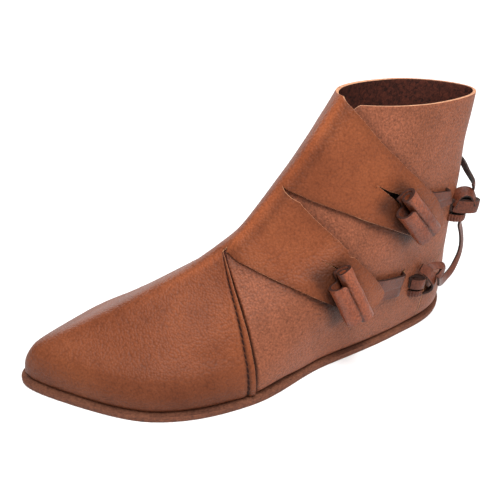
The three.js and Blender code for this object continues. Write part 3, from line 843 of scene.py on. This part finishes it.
SOLE_EDGE = cut_edge("sole_edge", (58, 30, 20), (124, 72, 48), 0.85)
SOLE_BOTTOM = flesh_leather("sole_bottom", (104, 74, 52), (150, 112, 80), 0.15, 0.8)
INSOLE_TOP = flesh_leather("insole_top", (40, 24, 18), (80, 50, 37), 0.12, 0.75)
THREAD, THREAD_SHADER = new_material("waxed_thread", 0.75, 0.15)
THREAD_SHADER.inputs["Base Color"].default_value = (*linear(40, 18, 11), 1)


# The upper: one hide, from the toggled flap round the toe and heel to the seam

SEAM_PEAK = float(climb(SEAM_TOP))
CELL = 7.2

# Extra cuts ahead of the vamp's edge and behind the quarter's, which the seam's relief follows
SEAM_CUTS = (2.4, 4.8, AROUND - 2.4, AROUND - 1)


def flap_chain():
    chain = round_the_shoe(rounded(FLAP_EDGE, (1, 1)))
    return np.vstack([[SEAM_GIRTH, SEAM_PEAK + 0.6], chain])


def heel_chain(inset=0.0):
    outline = rounded(HEEL_EDGE, (SHOE_LENGTH, COLLAR_HEIGHT))
    outline[:, 0] -= inset
    outer = on_outer_side(outline, turn=1)
    inner = on_inner_side(outline)
    peak = np.array([[HEEL_GIRTH, float(climb(HEEL_PEAK)) - 2 * inset]])
    return np.vstack([outer, peak, inner[::-1]])


def slit_loop(fastening):
    return wedge(*round_the_shoe(fastening["slit"]), fastening["gape"])


def tail_slit_loop(fastening):
    """The quarter's slit behind a tail: wide at its top and pointed below."""
    top, low = round_the_shoe(fastening["tail_end"], turn=1)
    to_heel = np.array([-1.0, 0.0])
    shape = ((-0.08, -1.2), (-0.12, 3.2), (0.3, 2.8), (0.65, 2.0), (1.1, 0.3), (1.06, -1.2), (0.5, -1.2))
    return np.array([top + (low - top) * s + to_heel * t for s, t in shape])


def thong_hole_loop():
    y, z = THONG_BACK_ROUTE[-1][1:]
    radius = 2.8
    turns = np.linspace(0, 2 * math.pi, 11)[:-1]
    return on_inner_side(np.array([(y + radius * math.cos(t), z + radius * math.sin(t)) for t in turns]))


def cut_out(sheet, loop):
    cut_along(sheet, np.vstack([loop, loop[:1]]))
    drop_faces(sheet, loop)


def make_upper():
    edge = flap_chain()
    columns = math.ceil((SEAM_GIRTH - edge[:, 0].min()) / CELL) + 1
    left, right = SEAM_GIRTH - columns * CELL, SEAM_GIRTH + AROUND + LAP
    top = float(climb(1))
    hide = flat_sheet("upper_hide", left, right, 0, top, CELL)
    dress(hide, FACE, FLESH, EDGE)
    for cut in SEAM_CUTS:
        cut_along(hide, np.array([[SEAM_GIRTH + cut, -1], [SEAM_GIRTH + cut, SEAM_PEAK + 3]]))
    seam = np.array([[SEAM_GIRTH, -1], edge[0]])
    cut_along(hide, np.vstack([seam, edge[1:]]))
    waste = np.vstack([
        [[SEAM_GIRTH, -9]], edge, [[edge[-1, 0], top + 9], [left - 9, top + 9], [left - 9, -9]],
    ])
    drop_faces(hide, waste)
    notch = heel_chain()
    cut_along(hide, notch)
    drop_faces(hide, notch)
    for fastening in FASTENINGS:
        cut_out(hide, slit_loop(fastening))
        cut_out(hide, tail_slit_loop(fastening))
    cut_out(hide, thong_hole_loop())
    tidy_cuts(hide)
    finish_with(hide, "SUBSURF", subdivision_type="SIMPLE", levels=2, render_levels=2)
    last_sheet(hide)
    thicken(hide)
    shade(hide)
    return hand_over(hide, ["upper"])


def make_heel_insert():
    notch = heel_chain(inset=0.35)
    left, right = notch[:, 0].min() - 4, notch[:, 0].max() + 4
    sheet = flat_sheet("heel_insert_sheet", left, right, 0, notch[:, 1].max() + 4, 5)
    dress(sheet, FACE, FLESH, EDGE)
    cut_along(sheet, notch)
    drop_faces(sheet, notch, keep_inside=True)
    tidy_cuts(sheet)
    finish_with(sheet, "SUBSURF", subdivision_type="SIMPLE", levels=2, render_levels=2)
    last_sheet(sheet)
    thicken(sheet)
    shade(sheet)
    return hand_over(sheet, ["heel_insert"])


# The sole

def plan_points(outset, count=220):
    """The plan of the upper's foot, moved outwards."""
    angle = np.linspace(0, 2 * math.pi, count, endpoint=False)
    height = np.full(count, BASE / COLLAR_HEIGHT)
    normal = face_normal(angle, height)[:, :2]
    normal /= np.linalg.norm(normal, axis=1, keepdims=True)
    return face_point(angle, height)[:, :2] + normal * outset


def plan_plate(name, outset, low, high, bevel):
    """A plate with the shoe's plan: a filled circle drawn to the plan, then raised and rounded."""
    plan = plan_points(outset)
    deselect()
    bpy.ops.mesh.primitive_circle_add(vertices=len(plan), radius=0.05, fill_type="NGON")
    plate = take_new(name)
    write_points(plate, np.column_stack([plan, np.full(len(plan), low)]))
    edit(plate)
    bpy.ops.mesh.select_all(action="SELECT")
    bpy.ops.mesh.normals_make_consistent(inside=False)
    bpy.ops.mesh.extrude_region_move(TRANSFORM_OT_translate={"value": (0, 0, (high - low) * MM)})
    bpy.ops.mesh.select_all(action="SELECT")
    bpy.ops.mesh.normals_make_consistent(inside=False)
    bpy.ops.mesh.select_all(action="DESELECT")
    select_faces(plate, lambda face: abs(face.normal.z) > 0.9)
    bpy.ops.mesh.inset(thickness=3 * MM)
    bpy.ops.mesh.inset(thickness=6 * MM)
    leave_edit()
    round_edges(plate, bevel, degrees=60, segments=3)
    return plate


def make_outsole():
    sole = plan_plate("outsole_plate", SOLE_MARGIN, 0, SOLE_THICKNESS, 0.7)
    dress(sole, SOLE_TOP, SOLE_EDGE, SOLE_BOTTOM)
    for face in sole.data.polygons:
        face.material_index = 0 if face.normal.z > 0.75 else 2 if face.normal.z < -0.75 else 1
    shade(sole)
    return hand_over(sole, ["outsole"])


def make_insole():
    insole = plan_plate("insole_plate", -LEATHER - 3 * GAP, BASE, BASE + INSOLE_THICKNESS, 0.4)
    dress(insole, INSOLE_TOP)
    shade(insole)
    return hand_over(insole, ["insole"])


# Toggles

def side_frame(y, z, turn):
    """A point of the outer face with its normal and two directions along it."""
    angle, height = side_address(y, z)
    origin = face_point(angle, height)[0]
    normal = face_normal(angle, height)[0]
    fall = math.radians(turn)
    ahead_angle, ahead_height = side_address(y - math.cos(fall), z - math.sin(fall))
    along = face_point(ahead_angle, ahead_height)[0] - origin
    along -= normal * along.dot(normal)
    along /= np.linalg.norm(along)
    return origin, np.cross(normal, along), normal, along


def scroll(name, length, radii, side, flat_run, turns, pitch, end_run=0.0, steps_each_turn=22):
    """A strip rolled up sideways: an edge drawn out in steps in edit mode, first flat, then round,
    and then straight to an end with round corners. X runs across the roll, Y away from the shoe
    and Z along the roll."""
    wide, tall = radii
    deselect()
    bpy.ops.mesh.primitive_plane_add(size=1)
    bpy.context.object.scale = (0.3 * MM, length * MM, 1)
    bpy.context.object.rotation_euler = (math.pi / 2, 0, 0)
    strip = take_new(name)
    edit(strip, "EDGE")
    net = bmesh.from_edit_mesh(strip.data)
    lead = max(net.edges, key=lambda e: side * (e.verts[0].co.x + e.verts[1].co.x))
    for corner in lead.verts:
        corner.select_set(True)
    lead.select_set(True)
    bmesh.update_edit_mesh(strip.data)
    count = round(turns * steps_each_turn)
    before = np.array([0.0, 0.0])
    for k in range(count + 1):
        turned = 2 * math.pi * k / steps_each_turn
        wound = pitch * turned / (2 * math.pi)
        place = np.array([
            flat_run + (wide - wound) * math.sin(turned),
            tall - (tall - wound) * math.cos(turned),
        ])
        move = place - before
        before = place
        bpy.ops.mesh.extrude_edges_move(
            TRANSFORM_OT_translate={"value": (side * move[0] * MM, move[1] * MM, 0.04 * MM)},
        )
    half = length / 2
    if end_run:
        move = move / np.linalg.norm(move)
        for step, corner in ((end_run - 2.6, 0), (1.1, 0.3), (0.8, 0.9), (0.45, 1.6), (0.25, 2.5)):
            bpy.ops.mesh.extrude_edges_move(
                TRANSFORM_OT_translate={"value": (side * move[0] * step * MM, move[1] * step * MM, 0)},
            )
            bpy.ops.transform.resize(value=(1, 1, (length / 2 - corner) / half))
            half = length / 2 - corner
    leave_edit()
    dress(strip, TOGGLE, TOGGLE_EDGE)
    return strip


def make_toggle(fastening):
    y, z = fastening["y"] * SHOE_LENGTH, fastening["z"] * COLLAR_HEIGHT
    origin, across, normal, along = side_frame(y, z, fastening["turn"])
    front = -1 if across[1] < 0 else 1
    lobe = TOGGLE_LOBE / 2 - TAIL_THICKNESS / 2
    rear = scroll("rear_roll", TOGGLE_LENGTH, (lobe + 1, lobe + 0.4), -front,
                  flat_run=4.1, turns=1.6, pitch=TAIL_THICKNESS * 1.12)
    fore = scroll("front_roll", TOGGLE_LENGTH * 0.73, (lobe + 0.1, lobe + 0.9), front,
                  flat_run=3.2, turns=0.56, pitch=0, end_run=2.8)
    write_points(fore, read_points(fore) + (0, 0, 0.04 * TOGGLE_LENGTH))
    for strip in (rear, fore):
        edit(strip)
        bpy.ops.mesh.select_all(action="SELECT")
        bpy.ops.mesh.subdivide(number_cuts=3)
        leave_edit()
        finish_with(strip, "SOLIDIFY", thickness=TAIL_THICKNESS * MM, offset=0, material_offset_rim=1)
        round_edges(strip, width=0.35, degrees=60)
    roll = join([rear, fore], "roll")
    points = read_points(roll)
    waver = [sway(points, 9, 0.5, 1.3), sway(points, 9, 0.5, 4.7), sway(points, 12, 0.4, 9.1)]
    points += np.stack(waver, axis=1)
    # Painted shade in the groove between the two rolls, and a painted contact shadow where they sit low by
    # the flap
    groove_shade = band(points[:, 0] + 0.8 * front, 1.2)
    contact_shade = 1 - smooth_step(points[:, 1] / 4)
    mark(roll, "painted_shading", (1 - 0.66 * groove_shade) * (1 - 0.55 * contact_shade))
    lift = STRAP_LIFT + LEATHER + 3 * GAP + TAIL_THICKNESS / 2
    slide = TOGGLE_LENGTH * fastening["slide"]
    to_side, out, lengthwise = points[:, :1], points[:, 1:2] + lift, points[:, 2:] + slide
    write_points(roll, origin + to_side * across + out * normal + lengthwise * along)
    tail = make_tail(fastening)
    toggle = join([roll, tail], fastening["name"] + "_roll")
    shade(toggle)
    return hand_over(toggle, [fastening["name"]])


def make_tail(fastening):
    """The strip's tail, from the flap's slit under the strap and into the quarter's slit."""
    start_top, start_low = np.array(fastening["tail_start"])
    end_top, end_low = np.array(fastening["tail_end"])
    run = 25
    tail = flat_sheet("tail", 0, run + 1.6, 0, TAIL_WIDTH, 0.8)
    dress(tail, THONG, THONG_EDGE)
    flat = read_points(tail)
    along, rise = np.minimum(flat[:, :1] / run, 1.02), flat[:, 1:2] / TAIL_WIDTH
    low, top = start_low + (end_low - start_low) * along, start_top + (end_top - start_top) * along
    address = low + (top - low) * rise
    angle, height = np.radians(address[:, 0]), address[:, 1]
    dive = smooth_step((flat[:, 0] - run + 1.2) / 2)
    layer = 0.5 * smooth_step((rise[:, 0] - 0.46) / 0.07)
    hidden = 1.1 * (1 - smooth_step((flat[:, 0] - 8) / 8))
    under = face_point(angle, height)
    out = GAP + TAIL_THICKNESS - 4.5 * dive + layer - hidden + sway(under, 34, 0.55, 3.1)
    write_points(tail, under + face_normal(angle, height) * out[:, None])
    edit(tail)
    bpy.ops.mesh.select_all(action="SELECT")
    bpy.ops.mesh.flip_normals()
    leave_edit()
    finish_with(tail, "SOLIDIFY", thickness=TAIL_THICKNESS * MM, offset=-1, material_offset_rim=1)
    round_edges(tail)
    return tail


# Thongs and knots

def smooth_route(points, count):
    """A smooth line through the points, in even steps."""
    points = np.asarray(points, float)
    ends = np.vstack([2 * points[0] - points[1], points, 2 * points[-1] - points[-2]])
    line = []
    for k in range(1, len(ends) - 2):
        line += [curve_point(*ends[k - 1:k + 3], t) for t in np.arange(12) / 12]
    line = np.array(line + [points[-1]])
    steps = np.concatenate([[0], np.cumsum(np.linalg.norm(np.diff(line, axis=0), axis=1))])
    wanted = np.linspace(0, steps[-1], count)
    return np.stack([np.interp(wanted, steps, line[:, k]) for k in range(3)], axis=1), steps[-1]


def ribbon(name, route, facing, width, thickness, frill=0.0):
    """A flat strip laid along a route. Facing gives the direction its grain side looks at each
    point, and a frill crimps it."""
    facing = np.asarray(facing, float)
    line, length = smooth_route(route, 20 * (len(route) - 1) // 4 + 8)
    if frill:
        line, length = smooth_route(route, round(length / 0.45))
    places = np.linspace(0, 1, len(line))
    given = np.linspace(0, 1, len(facing))
    looks = np.stack([np.interp(places, given, facing[:, k]) for k in range(3)], axis=1)
    ahead = np.gradient(line, axis=0)
    ahead /= np.linalg.norm(ahead, axis=1, keepdims=True)
    looks -= ahead * np.sum(looks * ahead, axis=1, keepdims=True)
    looks /= np.linalg.norm(looks, axis=1, keepdims=True)
    sides = np.cross(looks, ahead)
    strip = flat_sheet(name, 0, len(line) - 1, 0, 4, 1)
    dress(strip, THONG, THONG_EDGE)
    flat = read_points(strip)
    row = np.clip(np.rint(flat[:, 0]).astype(int), 0, len(line) - 1)
    across = (flat[:, 1:2] / 4 - 0.5) * width
    crown = 0.25 * (1 - (2 * across / width) ** 2)
    crown = crown + frill * np.sin(row * 2 * math.pi * 0.45 / 1.7)[:, None]
    write_points(strip, line[row] + sides[row] * across + looks[row] * crown)
    finish_with(strip, "SOLIDIFY", thickness=thickness * MM, offset=0, material_offset=1,
                material_offset_rim=1)
    round_edges(strip)
    finish_with(strip, "SUBSURF", levels=1, render_levels=1)
    return strip, line, length


# A knot's right, up and out as directions in the frame, and the middles of the two knots
KNOT_AXES = np.array([[-0.487, -0.873, 0], [0, 0, 1], [-0.873, 0.487, 0]])
LOW_KNOT = np.array([-32.1, -1.6, 38.6])
TOP_KNOT = np.array([-19.0, -34.5, 78.5])


def knot_turn(origin, name, centre, radii, width, turns=1.0, frill=0.0):
    """Turns of flat thong round an upright middle, each inside the last. Places and directions in
    a knot run to its right, up and out, seen from the outer side of the shoe."""
    angles = np.radians(np.linspace(-100, -100 + 360 * turns, 3 + round(12 * turns)))
    route, facing = [], []
    for angle in angles:
        wound = 1.75 * (angle - angles[0]) / (2 * math.pi)
        spot = (
            max(radii[0] - wound, 0.6) * math.cos(angle), 0,
            max(radii[1] - wound, 0.4) * math.sin(angle),
        )
        look = (math.cos(angle) / radii[0], 0, math.sin(angle) / radii[1])
        route.append(origin + (np.array(centre) + spot) @ KNOT_AXES)
        facing.append(np.array(look) @ KNOT_AXES)
    return ribbon(name, route, facing, width, THONG_THICKNESS, frill)[0]


def knot_strip(origin, name, route, facing, width):
    """A piece of flat thong laid over a knot."""
    route, facing = origin + np.array(route) @ KNOT_AXES, np.array(facing) @ KNOT_AXES
    return ribbon(name, route, facing, width, THONG_THICKNESS)[0]


def make_knots():
    parts = [
        knot_turn(LOW_KNOT, "barrel", (-2.9, -0.4, 0), (5.6, 3.2), 7.2, turns=1.6),
        knot_turn(LOW_KNOT, "under", (-4.2, -8.2, -0.5), (6.6, 3.0), 4.2, turns=1.4, frill=0.3),
        knot_strip(
            LOW_KNOT, "over", width=5.8,
            route=((-0.6, 8.2, -4), (4.5, 5.5, -3.5), (9, -0.4, -5),
                   (11, -6.1, -6.5), (10, -11, -8), (6.5, -14.6, -9)),
            facing=((0, 0.6, 0.8), (0.2, 0.6, 0.8), (0.5, 0.4, 0.8),
                    (0.9, 0, 0.4), (0.9, -0.2, 0.3), (0.8, -0.5, 0.3)),
        ),
        knot_strip(
            LOW_KNOT, "behind", width=4.6,
            route=((4, 3.5, -7), (7, 6.6, -8), (12, 7.2, -9),
                   (15, 6, -9.5), (14, 2, -8), (11.7, -0.6, -6.5)),
            facing=((0, 0.8, 0.6), (0, 0.8, 0.6), (0, 0.9, 0.5),
                    (0.7, 0.5, 0.5), (0.6, 0.2, 0.7), (0.5, 0.2, 0.8)),
        ),
    ]
    low_knot = join(parts, "knot_lower_turns")
    shade(low_knot)
    hand_over(low_knot, ["knot_lower"])
    parts = [
        knot_turn(TOP_KNOT, "barrel_top", (0, 2.2, 0), (10.2, 4.2), 8.4, turns=1.9),
        knot_turn(TOP_KNOT, "under_top", (-3.3, -6.6, 0), (6.8, 3.4), 4.8, turns=1.5, frill=0.3),
        knot_strip(
            TOP_KNOT, "fold_top", width=8.0,
            route=((-6.5, 2, 1), (-4.6, 8.4, 0), (0, 11, -0.5), (4.6, 9.6, -0.5), (8, 3.5, 0)),
            facing=((-0.8, 0.3, 0.4), (-0.5, 0.7, 0.4), (0, 1, 0.3), (0.6, 0.7, 0.3), (0.9, 0.3, 0.3)),
        ),
    ]
    top_knot = join(parts, "knot_upper_turns")
    shade(top_knot)
    hand_over(top_knot, ["knot_upper"])
    return low_knot, top_knot


def make_thongs(low_knot, top_knot):
    facing = [(-0.75, -0.1, 0.6), (-0.8, -0.25, 0.5), (-0.85, -0.3, 0.4)]
    loop, line, length = ribbon("thong_loop_strip", THONG_LOOP_ROUTE, facing, THONG_WIDTH, THONG_THICKNESS)
    shade(loop)
    hand_over(loop, ["thong_loop"])
    outward = [
        (-0.3, -0.9, 0.3), (-0.2, -0.9, 0.2), (0, -1, 0), (0.2, -1, 0),
        (0.6, -0.7, 0), (1, -0.2, 0), (1, 0, 0),
    ]
    back, line, length = ribbon("thong_back_strip", THONG_BACK_ROUTE, outward, THONG_WIDTH, THONG_THICKNESS)
    shade(back)
    hand_over(back, ["thong_back"])


# Stitches

def place_copies(name, pattern, places):
    """Joined copies of one small shape, each moved to its own place."""
    copies = []
    for matrix in places:
        copy = pattern.copy()
        copy.data = pattern.data.copy()
        bpy.context.collection.objects.link(copy)
        copy.data.transform(matrix)
        copies.append(copy)
    bpy.data.objects.remove(pattern)
    return join(copies, name)


def stitch_shape(length, width, depth):
    deselect()
    bpy.ops.mesh.primitive_uv_sphere_add(segments=8, ring_count=6, radius=0.5)
    bpy.context.object.scale = (length * MM, width * MM, depth * MM)
    stitch = take_new("stitch")
    bpy.ops.object.shade_smooth()
    return stitch


def axes_matrix(x, y, z, place):
    return Matrix([[*np.array(row)] for row in np.column_stack([x, y, z, np.asarray(place) * MM])]
                  + [[0, 0, 0, 1]])


def make_seam_stitches():
    heights = np.linspace(0.055, 0.485, 400)
    around = np.full(400, SEAM_GIRTH + STITCH_LINE)
    angle = hide_angle(around, heights)
    points = face_point(angle, heights)
    normal = face_normal(angle, heights)
    offset = upper_offset(around, angle, heights, points[:, 1], points[:, 2])
    points = points + normal * (offset[:, None] + 0.1)
    steps = np.concatenate([[0], np.cumsum(np.linalg.norm(np.diff(points, axis=0), axis=1))])
    slant = 0.22
    places = []
    for distance in np.arange(1, steps[-1], STITCH_PITCH):
        k = int(np.clip(np.searchsorted(steps, distance), 1, 398))
        ahead = points[k + 1] - points[k - 1]
        ahead /= np.linalg.norm(ahead)
        side = np.cross(normal[k], ahead)
        turned = ahead * math.cos(slant) + side * math.sin(slant)
        places.append(axes_matrix(turned, np.cross(normal[k], turned), normal[k], points[k]))
    stitches = place_copies("seam_stitches", stitch_shape(4.3, 1.4, 1.0), places)
    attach(stitches, "root")
    stitches.data.materials.clear()
    stitches.data.materials.append(THREAD)


# Floor, light and camera

# Places and sizes in metres, power in watts. The light of one that isn't scattered falls on the
# shoe, but doesn't go on from there.
LAMPS = (
    dict(name="key", place=(-0.45, 0.3, 1.25), size=0.6, power=22, scattered=True),
    dict(name="far", place=(1.0, -0.9, 1.4), size=0.8, power=14, scattered=True),
    dict(name="heel_side", place=(-1.0, -0.9, 0.9), size=0.8, power=6, scattered=True),
    dict(name="rim", place=(1.3, 0.3, 0.3), size=0.5, power=6, scattered=False),
)
CAMERA_PLACE = (-0.2635, 0.2505, 0.2824)


def make_stage():
    deselect()
    bpy.ops.mesh.primitive_plane_add(size=6)
    floor = take_new("floor")
    material, shader = new_material("pale_floor", 0.9, 0.2)
    shader.inputs["Base Color"].default_value = (0.9, 0.9, 0.9, 1)
    floor.data.materials.append(material)
    bpy.context.scene.view_settings.view_transform = "Standard"
    world = bpy.data.worlds.new("studio")
    bpy.context.scene.world = world
    world.use_nodes = True
    sky = world.node_tree.nodes["Background"]
    sky.inputs["Color"].default_value = (1, 1, 1, 1)
    sky.inputs["Strength"].default_value = 0.4
    shoe_middle = Vector((0, 0.08, 0.06))
    for lamp in LAMPS:
        data = bpy.data.lights.new(lamp["name"], "AREA")
        data.size = lamp["size"]
        data.energy = lamp["power"]
        light = bpy.data.objects.new(lamp["name"], data)
        bpy.context.collection.objects.link(light)
        light.visible_diffuse = lamp["scattered"]
        light.location = lamp["place"]
        aim = shoe_middle - Vector(lamp["place"])
        light.rotation_euler = aim.to_track_quat("-Z", "Y").to_euler()


def make_camera():
    """The photograph's angle to the shoe."""
    azimuth, elevation, roll = (math.radians(a) for a in (-119.14, 35.06, 3.79))
    focal_pixels, picture = 648.57, 500
    level = Vector((math.cos(azimuth), math.sin(azimuth), 0))
    away = Vector((math.sin(azimuth), -math.cos(azimuth), 0))
    back = away * math.cos(elevation) + Vector((0, 0, math.sin(elevation)))
    top = back.cross(level)
    right = level * math.cos(roll) + top * math.sin(roll)
    up = top * math.cos(roll) - level * math.sin(roll)
    lens_data = bpy.data.cameras.new("camera")
    lens_data.sensor_width = 36
    lens_data.lens = focal_pixels / picture * lens_data.sensor_width
    camera = bpy.data.objects.new("camera", lens_data)
    bpy.context.collection.objects.link(camera)
    camera.matrix_world = Matrix([*zip(right, up, back, CAMERA_PLACE), (0, 0, 0, 1)])
    bpy.context.scene.camera = camera


make_camera()
make_stage()
make_upper()
make_heel_insert()
make_outsole()
make_insole()
for each_fastening in FASTENINGS:
    make_toggle(each_fastening)
knots = make_knots()
make_thongs(*knots)
make_seam_stitches()
